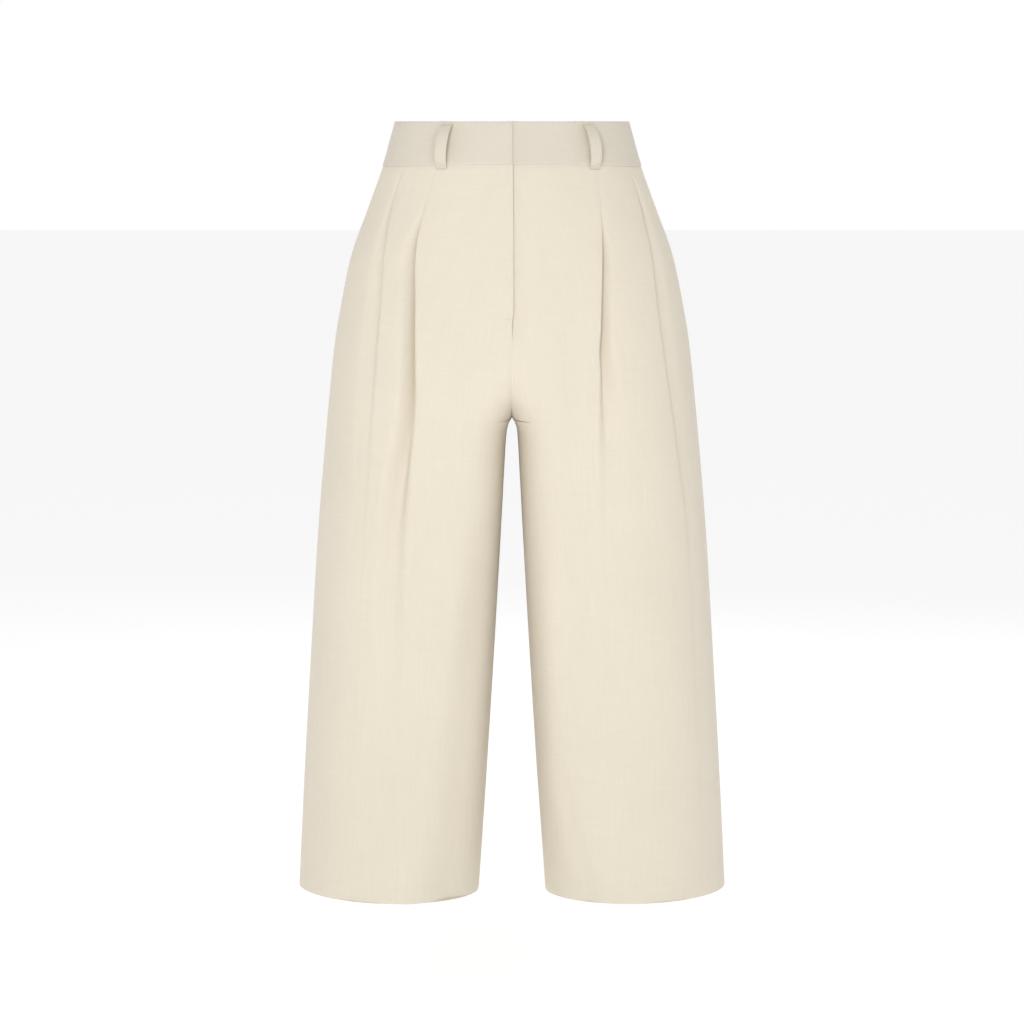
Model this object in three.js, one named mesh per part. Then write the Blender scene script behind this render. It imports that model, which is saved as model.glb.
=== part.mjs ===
// Capri trousers with a wide leg: two pleated fronts, two backs, a waistband in two halves, a fly and belt loops.
// Millimetres, +Z up. The front faces -Y and the wearer's left is +X. The origin is the middle of the waist
// opening, level with the waistband's top edge, so every drop is measured down from there.
import * as THREE from "three";

// ---- driving sizes -------------------------------------------------------------------------------------------
const CLOTH = 1.2; // wall of the fronts and backs
const BAND_CLOTH = 2.4; // wall of the waistband: two layers and the interfacing
const BAND_PROUD = 0.6; // how far the waistband stands out from the cloth under it
const SEAM_GAP = 0.3; // between two pieces at a seam
const BAND_DROP = 45; // height of the waistband
const CROTCH_DROP = 306;
const HEM_DROP = 806;
const HEM_TURN = 20; // height of the turned-up hem
const HEM_LEAN = 0.028; // the hem rises outwards, square to the leg
const RISE_HEIGHT = 100; // height over which the two halves roll in towards the crotch
const RISE_CURVE = 3.2; // how square that curve is
const FLAT = 1e5; // the reach of a section that runs on flat across the centre
const SEAM_BOW = 1.5; // the waist seam is this much higher at the centre, and lower at the sides
const SEAM_BOW_FADE = 150;

// The leg opens from the crotch: a quick spread, then a steady one that grows a little.
const LEG_GAP = { quick: 5.2, over: 7, slope: 0.05, growth: 0.00002 };

// One half of the garment at each drop: its half width, how far out it is deepest, its depth in front of and behind
// the seams, and how square it is outwards and inwards from there (2 is an ellipse).
const FORM = [
  { drop: 0, outer: 121, peak: 0, front: 88, back: 84, square: 2.4, inside: 3 },
  { drop: 45, outer: 134.2, peak: 3, front: 95, back: 95, square: 2.4, inside: 3 },
  { drop: 88, outer: 149.5, peak: 8, front: 103, back: 107, square: 2.4, inside: 3 },
  { drop: 135, outer: 166.5, peak: 17, front: 110, back: 118, square: 2.4, inside: 3.2 },
  { drop: 183, outer: 177, peak: 30, front: 115, back: 125, square: 2.35, inside: 3.4 },
  { drop: 230, outer: 185, peak: 46, front: 117, back: 127, square: 2.3, inside: 3.6 },
  { drop: 306, outer: 193, peak: 76, front: 117, back: 123, square: 2.2, inside: 3.8 },
  { drop: 420, outer: 203, peak: 104, front: 112, back: 116, square: 2.1, inside: 4.2 },
  { drop: 545, outer: 211, peak: 116, front: 107, back: 110, square: 2.05, inside: 3.8 },
  { drop: 671, outer: 218.5, peak: 124, front: 102, back: 104, square: 2, inside: 3.1 },
  { drop: 806, outer: 225.5, peak: 131, front: 97, back: 99, square: 1.95, inside: 1.9 },
];

// A pleat is a fold line down the front. at: share of the half width. turn: how far the cloth turns over, 180
// where it is folded flat. bend: radius of its two turns. under: length between them. rise: width over which the
// cloth comes back up beyond the fold.
const PLEATS = {
  right: [
    [
      { drop: 45, at: 0.575, turn: 180, bend: 0.75, under: 15, rise: 16 },
      { drop: 95, at: 0.597, turn: 176, bend: 0.8, under: 9, rise: 18 },
      { drop: 130, at: 0.592, turn: 130, bend: 1.4, under: 6, rise: 20 },
      { drop: 188, at: 0.553, turn: 108, bend: 2, under: 7, rise: 18 },
      { drop: 260, at: 0.525, turn: 102, bend: 2.4, under: 7, rise: 18 },
      { drop: 325, at: 0.522, turn: 84, bend: 3.4, under: 5, rise: 20 },
      { drop: 420, at: 0.535, turn: 40, bend: 9, under: 5, rise: 24 },
      { drop: 560, at: 0.54, turn: 20, bend: 14, under: 5, rise: 28 },
      { drop: 700, at: 0.56, turn: 6, bend: 30, under: 5, rise: 28 },
      { drop: 806, at: 0.58, turn: 3, bend: 40, under: 5, rise: 28 },
    ],
    [
      { drop: 45, at: 0.835, turn: 180, bend: 0.75, under: 9, rise: 12 },
      { drop: 95, at: 0.82, turn: 140, bend: 0.9, under: 4, rise: 14 },
      { drop: 140, at: 0.78, turn: 70, bend: 2, under: 3, rise: 16 },
      { drop: 214, at: 0.748, turn: 40, bend: 5, under: 3, rise: 20 },
      { drop: 300, at: 0.738, turn: 20, bend: 10, under: 2, rise: 22 },
      { drop: 420, at: 0.74, turn: 7, bend: 20, under: 2, rise: 22 },
      { drop: 806, at: 0.77, turn: 2, bend: 30, under: 2, rise: 22 },
    ],
  ],
  left: [
    [
      { drop: 45, at: 0.654, turn: 180, bend: 0.75, under: 15, rise: 14 },
      { drop: 88, at: 0.607, turn: 178, bend: 0.8, under: 11, rise: 16 },
      { drop: 140, at: 0.548, turn: 130, bend: 1.3, under: 6, rise: 16 },
      { drop: 219, at: 0.492, turn: 104, bend: 1.9, under: 5, rise: 15 },
      { drop: 285, at: 0.468, turn: 56, bend: 4, under: 4, rise: 20 },
      { drop: 370, at: 0.455, turn: 16, bend: 12, under: 3, rise: 28 },
      { drop: 520, at: 0.45, turn: 6, bend: 26, under: 3, rise: 32 },
      { drop: 806, at: 0.46, turn: 3, bend: 30, under: 3, rise: 32 },
    ],
    [
      { drop: 45, at: 0.9, turn: 180, bend: 0.75, under: 8, rise: 10 },
      { drop: 88, at: 0.887, turn: 120, bend: 1, under: 3, rise: 14 },
      { drop: 135, at: 0.857, turn: 60, bend: 2, under: 2, rise: 18 },
      { drop: 219, at: 0.836, turn: 36, bend: 5, under: 3, rise: 22 },
      { drop: 314, at: 0.86, turn: 24, bend: 9, under: 2, rise: 22 },
      { drop: 424, at: 0.885, turn: 12, bend: 16, under: 2, rise: 20 },
      { drop: 806, at: 0.89, turn: 3, bend: 24, under: 2, rise: 18 },
    ],
  ],
};

// The fly: the right front laps over the left one down to FLY_END, and the left one dips to pass under it.
const FLY_END = 198;
const FLY_DIP = CLOTH + 1.2;
const FLY_DIP_FROM = 18; // girth at which the left front starts to dip
const FLY_DIP_FULL = 5;
const FLY_EDGE = [
  { drop: 45, right: -1, left: -6, dip: 1 },
  { drop: 190, right: -1.5, left: -6, dip: 1 },
  { drop: 206, right: 0, left: 0, dip: 1 },
  { drop: 232, right: 0, left: 0, dip: 0 },
  { drop: 806, right: 0, left: 0, dip: 0 },
];
const SHIELD = { left: 24, right: -22, top: BAND_DROP + 1.5, bottom: 214, behind: FLY_DIP + CLOTH + 0.6 };
const BAND_LAP = 35; // the left half of the waistband runs on under the right one

// The belt loops: half of the garment, which side of it, and share of the half width.
const LOOPS = [
  { name: "belt_loop_front_right", side: -1, face: "front", at: 0.533 },
  { name: "belt_loop_front_left", side: 1, face: "front", at: 0.626 },
  { name: "belt_loop_back_right", side: -1, face: "back", at: 0.58 },
  { name: "belt_loop_back_left", side: 1, face: "back", at: 0.58 },
  { name: "belt_loop_back_centre", side: 1, face: "back", at: 0 },
];
const LOOP = { width: 11, cloth: 1.6, bow: 10, top: 0.2, bottom: 49, foot: 3, fullness: 0.6 };

const FRONT_DROPS = [
  BAND_DROP + SEAM_GAP, 68, 95, 118, 145, 175, 206, 232, 256, 278, 292, 301, CROTCH_DROP, 314, 330, 360, 410, 480, 570, 670,
  HEM_DROP - HEM_TURN - 1, HEM_DROP - HEM_TURN, HEM_DROP,
];
const BACK_DROPS = [
  BAND_DROP + SEAM_GAP, 85, 130, 170, 206, 232, 256, 278, 292, 301, CROTCH_DROP, 314, 330, 360, 410, 480, 570, 670,
  HEM_DROP - HEM_TURN - 1, HEM_DROP - HEM_TURN, HEM_DROP,
];
const ROLL = 0.24; // share of the half width inside which the columns crowd in to follow the crotch
const BAND_COLUMNS = 24;

const { abs, cos, sin, sign, max, min, PI } = Math;
const clothMaterial = new THREE.MeshStandardMaterial({ color: 0xdfd6c1, roughness: 0.9, metalness: 0 });
const bandMaterial = new THREE.MeshStandardMaterial({ color: 0xdcd2bd, roughness: 0.9, metalness: 0 });

// ---- form of the garment -------------------------------------------------------------------------------------
const smoothstep = (t) => THREE.MathUtils.smoothstep(t, 0, 1);

// A table's column at a drop, on a smooth curve through its rows.
function read(table, column, drop) {
  const last = table.length - 1;
  let i = 0;
  while (i < last - 1 && drop > table[i + 1].drop) i++;
  const slope = (k) => {
    const a = table[max(k - 1, 0)];
    const b = table[min(k + 1, last)];
    return (b[column] - a[column]) / (b.drop - a.drop);
  };
  const span = table[i + 1].drop - table[i].drop;
  const t = min(1, max(0, (drop - table[i].drop) / span));
  const [t2, t3] = [t * t, t * t * t];
  return (
    (2 * t3 - 3 * t2 + 1) * table[i][column] +
    (t3 - 2 * t2 + t) * span * slope(i) +
    (3 * t2 - 2 * t3) * table[i + 1][column] +
    (t3 - t2) * span * slope(i + 1)
  );
}

// The section of one half at a drop: above the crotch the plane x = 0 trims it, below it is the leg's own. reach is
// how far inwards from its deepest place it would close, and trim how much of that is kept.
const sections = new Map();
function section(drop) {
  if (sections.has(drop)) return sections.get(drop);
  const [outer, peak, front, back, square, inside] = ["outer", "peak", "front", "back", "square", "inside"].map(
    (column) => read(FORM, column, drop),
  );
  const below = drop - CROTCH_DROP;
  const gap =
    LEG_GAP.quick * (1 - Math.exp(-below / LEG_GAP.over)) + LEG_GAP.slope * below + LEG_GAP.growth * below * below;
  const risen = max(0, 1 + below / RISE_HEIGHT);
  const depth = below >= 0 ? 0 : (1 - risen ** RISE_CURVE) ** (1 / RISE_CURVE);
  const middle = peak - SEAM_GAP / 2;
  const reach = below >= 0 ? middle - gap : min(FLAT, middle / (1 - depth ** inside || 1e-9) ** (1 / inside));
  const made = { outer, peak, front, back, square, inside, reach, trim: min(1, middle / reach) };
  if (below >= 0) made.trim = 1;
  sections.set(drop, made);
  return made;
}

// How far outside the form a point is, as a share of the section, for the direction that the cloth faces.
function level(x, y, drop) {
  const s = section(drop);
  const [n, wide] = x >= s.peak ? [s.square, s.outer - s.peak] : [s.inside, s.reach];
  return (abs(x - s.peak) / wide) ** n + (abs(y) / (y < 0 ? s.front : s.back)) ** n;
}

// A face of half a section as short straight steps, from its inner edge to the side seam, with the length to each.
const STEPS = 90;
const faces = new Map();
function faceOf(drop, face) {
  const key = face + drop;
  if (faces.has(key)) return faces.get(key);
  const s = section(drop);
  const depth = face === "front" ? -s.front : s.back;
  const points = [];
  for (let i = -STEPS; i <= STEPS; i++) {
    const [n, wide, most] = i < 0 ? [s.inside, -s.reach, s.trim] : [s.square, s.outer - s.peak, 1];
    const share = most * sin((PI / 2) * abs(i / STEPS));
    points.push([s.peak + wide * share, depth * max(0, 1 - share ** n) ** (1 / n)]);
  }
  const lengths = [0];
  for (let i = 1; i < points.length; i++)
    lengths.push(lengths[i - 1] + Math.hypot(points[i][0] - points[i - 1][0], points[i][1] - points[i - 1][1]));
  const made = { points, lengths, length: lengths.at(-1), outer: s.outer };
  faces.set(key, made);
  return made;
}

function pointAlong(drop, face, along) {
  const { points, lengths, length } = faceOf(drop, face);
  const wanted = min(length, max(0, along));
  let [low, high] = [0, lengths.length - 1];
  while (high - low > 1) {
    const mid = (low + high) >> 1;
    if (lengths[mid] <= wanted) low = mid;
    else high = mid;
  }
  const share = (wanted - lengths[low]) / (lengths[high] - lengths[low]);
  return [0, 1].map((k) => points[low][k] + share * (points[high][k] - points[low][k]));
}

// Girth is measured from the front edge of one half (the centre, or the inseam on the leg), round the side seam, to
// its back edge. A girth below zero runs on across the centre onto the other half.
function girthAt(drop, face, share) {
  const f = faceOf(drop, face);
  const x = share * f.outer;
  let [low, high] = [0, f.length];
  for (let i = 0; i < 30; i++) {
    const mid = (low + high) / 2;
    if (pointAlong(drop, face, mid)[0] < x) low = mid;
    else high = mid;
  }
  return face === "front" ? low : faceOf(drop, "front").length + f.length - low;
}

// The place of a point at a girth and a drop, out from the form by a height. side is 1 for the wearer's left.
function place(side, girth, drop, height) {
  if (girth < 0) return place(-side, -girth, drop, height);
  const front = faceOf(drop, "front").length;
  const back = faceOf(drop, "back").length;
  const face = girth <= front ? "front" : "back";
  const [x, y] = pointAlong(drop, face, face === "front" ? girth : front + back - girth);
  const e = 0.5;
  const facing = new THREE.Vector3(
    (level(x + e, y, drop) - level(x - e, y, drop)) / (2 * e),
    (level(x, y + e, drop) - level(x, y - e, drop)) / (2 * e),
    (level(x, y, drop - e) - level(x, y, drop + e)) / (2 * e),
  ).normalize();
  if (girth + SEAM_GAP > front + back && drop < CROTCH_DROP - RISE_HEIGHT) facing.x = 0;
  const s = section(drop);
  const lean = HEM_LEAN * smoothstep((drop - CROTCH_DROP) / (HEM_DROP - CROTCH_DROP));
  const bow = SEAM_BOW * (drop < BAND_DROP ? drop / BAND_DROP : max(0, 1 - (drop - BAND_DROP) / SEAM_BOW_FADE));
  const z = -drop + lean * (x - s.peak) + bow * (1 - 2 * (x / s.outer) ** 2);
  return new THREE.Vector3(
    side * max(SEAM_GAP / 2, x + height * facing.x),
    y + height * facing.y,
    z + height * facing.z,
  );
}

// ---- cloth ---------------------------------------------------------------------------------------------------
// A closed wall from rows of pairs of points, one on each of its two faces.
function wall(name, rows, material) {
  const [high, wide] = [rows.length, rows[0].length];
  const points = [...rows.flat().map((p) => p.out), ...rows.flat().map((p) => p.in)];
  const outside = (r, c) => r * wide + c;
  const inside = (r, c) => high * wide + r * wide + c;
  const index = [];
  const quad = (a, b, c, d) => index.push(a, b, c, a, c, d);
  for (let r = 0; r < high - 1; r++)
    for (let c = 0; c < wide - 1; c++) {
      quad(outside(r, c), outside(r + 1, c), outside(r + 1, c + 1), outside(r, c + 1));
      quad(inside(r, c), inside(r, c + 1), inside(r + 1, c + 1), inside(r + 1, c));
    }
  for (let c = 0; c < wide - 1; c++) {
    quad(outside(0, c), outside(0, c + 1), inside(0, c + 1), inside(0, c));
    quad(outside(high - 1, c + 1), outside(high - 1, c), inside(high - 1, c), inside(high - 1, c + 1));
  }
  for (let r = 0; r < high - 1; r++) {
    quad(outside(r + 1, 0), outside(r, 0), inside(r, 0), inside(r + 1, 0));
    quad(outside(r, wide - 1), outside(r + 1, wide - 1), inside(r + 1, wide - 1), inside(r, wide - 1));
  }
  let volume = 0;
  for (let i = 0; i < index.length; i += 3)
    volume += points[index[i]].dot(points[index[i + 1]].clone().cross(points[index[i + 2]]));
  if (volume < 0) index.reverse();
  const geometry = new THREE.BufferGeometry().setFromPoints(points).setIndex(index);
  geometry.computeVertexNormals();
  const mesh = new THREE.Mesh(geometry, material);
  mesh.name = name;
  return mesh;
}

// The two faces of the cloth at a point of a row. A row's point has its girth, the height of the cloth's outer face
// and the angle by which the row turns down there.
function bothFaces(side, drop, point, cloth, inner = cloth) {
  const turn = THREE.MathUtils.degToRad(point.turn);
  const at = (out) =>
    place(side, point.girth + out * sin(turn), drop, point.height - CLOTH / 2 + out * cos(turn));
  return { out: at(CLOTH / 2), in: at(CLOTH / 2 - inner) };
}

// One pleat at a drop, as points from where the cloth leaves the form to where it is back on it.
const TURN_STEPS = 3;
const RISE_STEPS = 3;
function pleat(table, drop) {
  const [turn, bend, under, rise, at] = ["turn", "bend", "under", "rise", "at"].map((c) => read(table, c, drop));
  const angle = THREE.MathUtils.degToRad(turn);
  const points = [];
  let [girth, height] = [0, 0];
  const add = (turned) => points.push({ girth, height, turn: turned });
  add(0);
  for (const [from, to] of [
    [0, angle],
    [angle, 0],
  ]) {
    for (let i = 1; i <= TURN_STEPS; i++) {
      const half = (to - from) / (2 * TURN_STEPS);
      const step = from + (2 * i - 1) * half;
      const chord = 2 * bend * abs(sin(half));
      girth += chord * cos(step);
      height -= chord * sin(step);
      add(THREE.MathUtils.radToDeg(step + half));
    }
    if (from === 0) {
      girth += under * cos(angle);
      height -= under * sin(angle);
      add(turn);
    }
  }
  const edge = max(...points.map((p) => p.girth));
  const depth = height;
  for (let i = 1; i <= RISE_STEPS; i++) {
    const share = i / RISE_STEPS;
    girth = points[points.length - i].girth + rise * share;
    height = depth * (1 - smoothstep(share));
    points.push({ girth, height, turn: THREE.MathUtils.radToDeg(Math.atan((depth * 6 * share * (1 - share)) / rise)) });
  }
  const line = girthAt(drop, "front", at);
  const shift = line - (turn > 90 ? edge : points[2 * TURN_STEPS + 1].girth / 2);
  points.forEach((p) => (p.girth += shift));
  return points;
}

// Points between two girths, without its ends.
const between = (from, to, count) =>
  Array.from({ length: count }, (_, i) => ({ girth: from + ((to - from) * (i + 1)) / (count + 1), height: 0, turn: 0 }));

function frontRow(side, drop) {
  const pleats = PLEATS[side > 0 ? "left" : "right"].map((table) => pleat(table, drop));
  const lap = read(FLY_EDGE, side > 0 ? "left" : "right", drop);
  const edge = lap < 0 ? lap : drop >= CROTCH_DROP ? SEAM_GAP / 2 : 0;
  const end = faceOf(drop, "front").length - SEAM_GAP / 2;
  const roll = girthAt(drop, "front", ROLL);
  const row = [
    { girth: edge, height: 0, turn: 0 },
    { girth: max(edge + 1, FLY_DIP_FULL), height: 0, turn: 0 },
    { girth: FLY_DIP_FROM, height: 0, turn: 0 },
    ...between(FLY_DIP_FROM, roll, 3),
    { girth: roll, height: 0, turn: 0 },
    ...between(roll, pleats[0][0].girth, 1),
    ...pleats[0],
    ...between(pleats[0].at(-1).girth, pleats[1][0].girth, 1),
    ...pleats[1],
    ...between(pleats[1].at(-1).girth, end, 2),
    { girth: end, height: 0, turn: 0 },
  ];
  if (side > 0) {
    const dip = FLY_DIP * read(FLY_EDGE, "dip", drop);
    row[0].height = row[1].height = -dip;
  }
  return row;
}

const hemCloth = (drop) => (drop >= HEM_DROP - HEM_TURN ? 2 * CLOTH : CLOTH);

function frontPanel(name, side) {
  const rows = FRONT_DROPS.map((drop) =>
    frontRow(side, drop).map((p) => bothFaces(side, drop, p, CLOTH, hemCloth(drop))),
  );
  return wall(name, rows, clothMaterial);
}

function backPanel(name, side) {
  const rows = BACK_DROPS.map((drop) => {
    const start = faceOf(drop, "front").length + SEAM_GAP / 2;
    const end = faceOf(drop, "front").length + faceOf(drop, "back").length - (drop >= CROTCH_DROP ? SEAM_GAP / 2 : 0);
    const roll = girthAt(drop, "back", ROLL);
    const row = [
      { girth: start, height: 0, turn: 0 },
      ...between(start, roll, 7),
      { girth: roll, height: 0, turn: 0 },
      ...between(roll, end, 4),
      { girth: end, height: 0, turn: 0 },
    ];
    return row.map((p) => bothFaces(side, drop, p, CLOTH, hemCloth(drop)));
  });
  return wall(name, rows, clothMaterial);
}

// ---- waistband, fly and loops ----------------------------------------------------------------------------------
function waistbandHalf(name, side) {
  const rows = [0, BAND_DROP / 2, BAND_DROP].map((drop) => {
    const end = faceOf(drop, "front").length + faceOf(drop, "back").length;
    const lapped = BAND_CLOTH + SEAM_GAP;
    const start =
      side > 0
        ? [
            [-BAND_LAP, lapped],
            [-BAND_LAP / 2, lapped],
            [FLY_DIP_FULL, lapped],
            [FLY_DIP_FROM, 0],
          ]
        : [
            [-0.5, 0],
            [FLY_DIP_FROM, 0],
          ];
    const body = between(FLY_DIP_FROM, end, BAND_COLUMNS - 1).map((p) => [p.girth, 0]);
    return [...start, ...body, [end, 0]].map(([girth, dip]) => ({
      out: place(side, girth, drop, BAND_PROUD - dip),
      in: place(side, girth, drop, BAND_PROUD - dip - BAND_CLOTH),
    }));
  });
  return wall(name, rows, bandMaterial);
}

function flyShield(name) {
  const count = 8;
  const rows = Array.from({ length: count + 1 }, (_, i) => {
    const drop = SHIELD.top + ((SHIELD.bottom - SHIELD.top) * i) / count;
    const taper = 1 - 0.75 * max(0, (i - count + 2) / 2) ** 2;
    return [0, 0.25, 0.5, 0.75, 1].map((share) => {
      const girth = SHIELD.right * taper + (SHIELD.left - SHIELD.right * taper) * share;
      return {
        out: place(1, girth, drop, -SHIELD.behind),
        in: place(1, girth, drop, -SHIELD.behind - CLOTH),
      };
    });
  });
  return wall(name, rows, clothMaterial);
}

// A loop is a strap that lies on the band at its two feet and bows out between them.
function beltLoop({ name, side, face, at }) {
  const rest = BAND_PROUD + SEAM_GAP;
  const steps = 6;
  const rows = [{ drop: LOOP.top, out: 0 }];
  for (let i = 0; i <= steps; i++) {
    const share = i / steps;
    const from = LOOP.top + LOOP.foot;
    const to = LOOP.bottom - LOOP.foot - 1;
    rows.push({ drop: from + (to - from) * share, out: LOOP.bow * sin(PI * share) ** LOOP.fullness });
  }
  rows.push({ drop: LOOP.bottom, out: 0 });
  const made = rows.map(({ drop, out }) => {
    const middle = girthAt(min(drop, BAND_DROP), face, at);
    return [-0.5, 0, 0.5].map((share) => ({
      out: strapPoint(side, middle + share * LOOP.width, drop, rest + out + LOOP.cloth, at),
      in: strapPoint(side, middle + share * LOOP.width, drop, rest + out, at),
    }));
  });
  return wall(name, made, bandMaterial);
}

// The centre loop runs across the back seam, so the half of it beyond the seam is on the other side.
function strapPoint(side, girth, drop, height, at) {
  const whole = faceOf(drop, "front").length + faceOf(drop, "back").length;
  if (at > 0) return place(side, girth, drop, height);
  const across = girth - whole;
  const point = place(side, whole - abs(across), drop, height);
  point.x = across < 0 ? abs(point.x) : -abs(point.x);
  if (abs(across) < SEAM_GAP) point.x = 0;
  return point;
}

const trousers = new THREE.Group();
trousers.add(
  waistbandHalf("waistband_right", -1),
  waistbandHalf("waistband_left", 1),
  frontPanel("front_right", -1),
  frontPanel("front_left", 1),
  backPanel("back_right", -1),
  backPanel("back_left", 1),
  flyShield("fly_shield"),
  ...LOOPS.map(beltLoop),
);

export default trousers;
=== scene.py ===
# %% [markdown]
# # Wide cropped trousers with pleated fronts
# The real garment is cut from a plain woven cloth, mostly linen and cotton: two fronts, two backs, a straight
# waistband and a handful of belt loops. Here it hangs filled out, as if worn by nobody, so every piece is a thin
# closed wall that follows one shared form. The form is written as formulas and short tables, because a garment is
# drafted that way: a girth and a depth at each drop from the waist.

import math

import bpy
import numpy as np
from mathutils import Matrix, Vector


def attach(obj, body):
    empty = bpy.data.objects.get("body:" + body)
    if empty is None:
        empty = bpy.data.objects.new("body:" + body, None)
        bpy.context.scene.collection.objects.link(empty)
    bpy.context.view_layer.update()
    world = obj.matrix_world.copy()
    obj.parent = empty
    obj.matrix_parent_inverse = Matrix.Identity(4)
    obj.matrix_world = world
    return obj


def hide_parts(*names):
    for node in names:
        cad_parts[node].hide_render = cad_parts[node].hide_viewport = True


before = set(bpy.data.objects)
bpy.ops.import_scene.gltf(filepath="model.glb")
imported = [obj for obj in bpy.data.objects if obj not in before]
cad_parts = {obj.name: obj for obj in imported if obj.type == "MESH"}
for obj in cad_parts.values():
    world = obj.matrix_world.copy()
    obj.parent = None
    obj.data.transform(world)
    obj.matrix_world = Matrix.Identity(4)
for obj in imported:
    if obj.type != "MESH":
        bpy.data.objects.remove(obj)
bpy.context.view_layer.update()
print("frame nodes:", sorted(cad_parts))

# %% [markdown]
# ## The form of the body inside
# One half of the garment is described at each drop below the waist: how wide and deep it is, how far out it is
# deepest, and how square its outline is. A smooth curve through a few rows gives every height between them, which is
# easier to correct by hand than a sculpted mesh.

# %% Driving sizes, in millimetres
SOLID_CLOTH = 1.2  # the wall of the solid; its outer face lies on the form
CLOTH = 1.1
CLOTH_SEAT = 0.05  # the shell keeps this far inside its solid's faces
BAND_CLOTH = 2.3
BAND_PROUD = 0.6
SEAM_GAP = 0.04  # much narrower than a thread, so that no light shows through a closed seam
BAND_DROP = 45
CROTCH_DROP = 306
HEM_DROP = 806
HEM_TURN = 20
HEM_LEAN = 0.028
RISE_HEIGHT = 100
RISE_CURVE = 3.2
FLAT = 1e5  # the reach of a curve that is as good as straight
SEAM_BOW = 1.5
SEAM_BOW_FADE = 150
GAP_QUICK, GAP_OVER, GAP_SLOPE, GAP_GROWTH = 5.2, 7, 0.05, 0.00002

FORM_COLUMNS = ("drop", "outer", "peak", "front", "back", "square", "inside")
FORM = [
    (0, 121, 0, 88, 84, 2.4, 3),
    (45, 134.2, 3, 95, 95, 2.4, 3),
    (88, 149.5, 8, 103, 107, 2.4, 3),
    (135, 166.5, 17, 110, 118, 2.4, 3.2),
    (183, 177, 30, 115, 125, 2.35, 3.4),
    (230, 185, 46, 117, 127, 2.3, 3.6),
    (306, 193, 76, 117, 123, 2.2, 3.8),
    (420, 203, 104, 112, 116, 2.1, 4.2),
    (545, 211, 116, 107, 110, 2.05, 3.8),
    (671, 218.5, 124, 102, 104, 2, 3.1),
    (806, 225.5, 131, 97, 99, 1.95, 1.9),
]
print("form:", len(FORM), "rows down to", FORM[-1][0], "mm")

# %% [markdown]
# ## Pleats
# A pleat is cloth folded over at the waist seam and let go below it. In section it is an S: the cloth turns back
# under itself and forward again. Down the leg the turn opens, from folded flat to a soft ridge. Each row of a table
# is the state of one pleat at one drop.

# %% Pleat tables: where the fold line is, how far it turns, its bend, the cloth under it and its rise beyond
PLEAT_COLUMNS = ("drop", "at", "turn", "bend", "under", "rise")
PLEATS = {
    -1: (
        [
            (45, 0.575, 180, 0.75, 15, 16),
            (95, 0.597, 176, 0.8, 9, 18),
            (130, 0.592, 130, 1.4, 6, 20),
            (188, 0.553, 108, 2, 7, 18),
            (260, 0.525, 102, 2.4, 7, 18),
            (325, 0.522, 84, 3.4, 5, 20),
            (420, 0.535, 40, 9, 5, 24),
            (560, 0.54, 20, 14, 5, 28),
            (700, 0.56, 6, 30, 5, 28),
            (806, 0.58, 3, 40, 5, 28),
        ],
        [
            (45, 0.835, 180, 0.75, 9, 12),
            (95, 0.82, 140, 0.9, 4, 14),
            (140, 0.78, 70, 2, 3, 16),
            (214, 0.748, 40, 5, 3, 20),
            (300, 0.738, 20, 10, 2, 22),
            (420, 0.74, 7, 20, 2, 22),
            (806, 0.77, 2, 30, 2, 22),
        ],
    ),
    1: (
        [
            (45, 0.654, 180, 0.75, 15, 14),
            (88, 0.607, 178, 0.8, 11, 16),
            (140, 0.548, 130, 1.3, 6, 16),
            (219, 0.492, 104, 1.9, 5, 15),
            (285, 0.468, 56, 4, 4, 20),
            (370, 0.455, 16, 12, 3, 28),
            (520, 0.45, 6, 26, 3, 32),
            (806, 0.46, 3, 30, 3, 32),
        ],
        [
            (45, 0.9, 180, 0.75, 8, 10),
            (88, 0.887, 120, 1, 3, 14),
            (135, 0.857, 60, 2, 2, 18),
            (219, 0.836, 36, 5, 3, 22),
            (314, 0.86, 24, 9, 2, 22),
            (424, 0.885, 12, 16, 2, 20),
            (806, 0.89, 3, 24, 2, 18),
        ],
    ),
}
print("pleats:", sum(len(pair) for pair in PLEATS.values()))

# %% The fly, its shield and the lap of the waistband
FLY_DIP = 2.4  # how far the left front drops behind the right one
FLY_DIP_FROM, FLY_DIP_FULL = 18, 5
FLY_END = 206
FLY_COLUMNS = ("drop", "lap", "dip")
FLY_EDGE = {
    -1: [(45, -1, 0), (190, -1.5, 0), (206, 0, 0), (232, 0, 0), (806, 0, 0)],
    1: [(45, -6, 1), (190, -6, 1), (206, 0, 1), (232, 0, 0), (806, 0, 0)],
}
SHIELD_GAP = 0.6
SHIELD = dict(left=24, right=-22, top=BAND_DROP + 1.5, bottom=214, behind=FLY_DIP + SOLID_CLOTH + SHIELD_GAP)
BAND_LAP = 35
print("fly:", FLY_END - BAND_DROP, "mm long below the waistband")

# %% [markdown]
# ## Soft folds
# Cloth that hangs from a waist is never quite smooth. Each row here is one shallow trough or ridge with its own
# place, length, width and height, put where this garment has it, with quieter ones of the same kind on the back.

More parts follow.
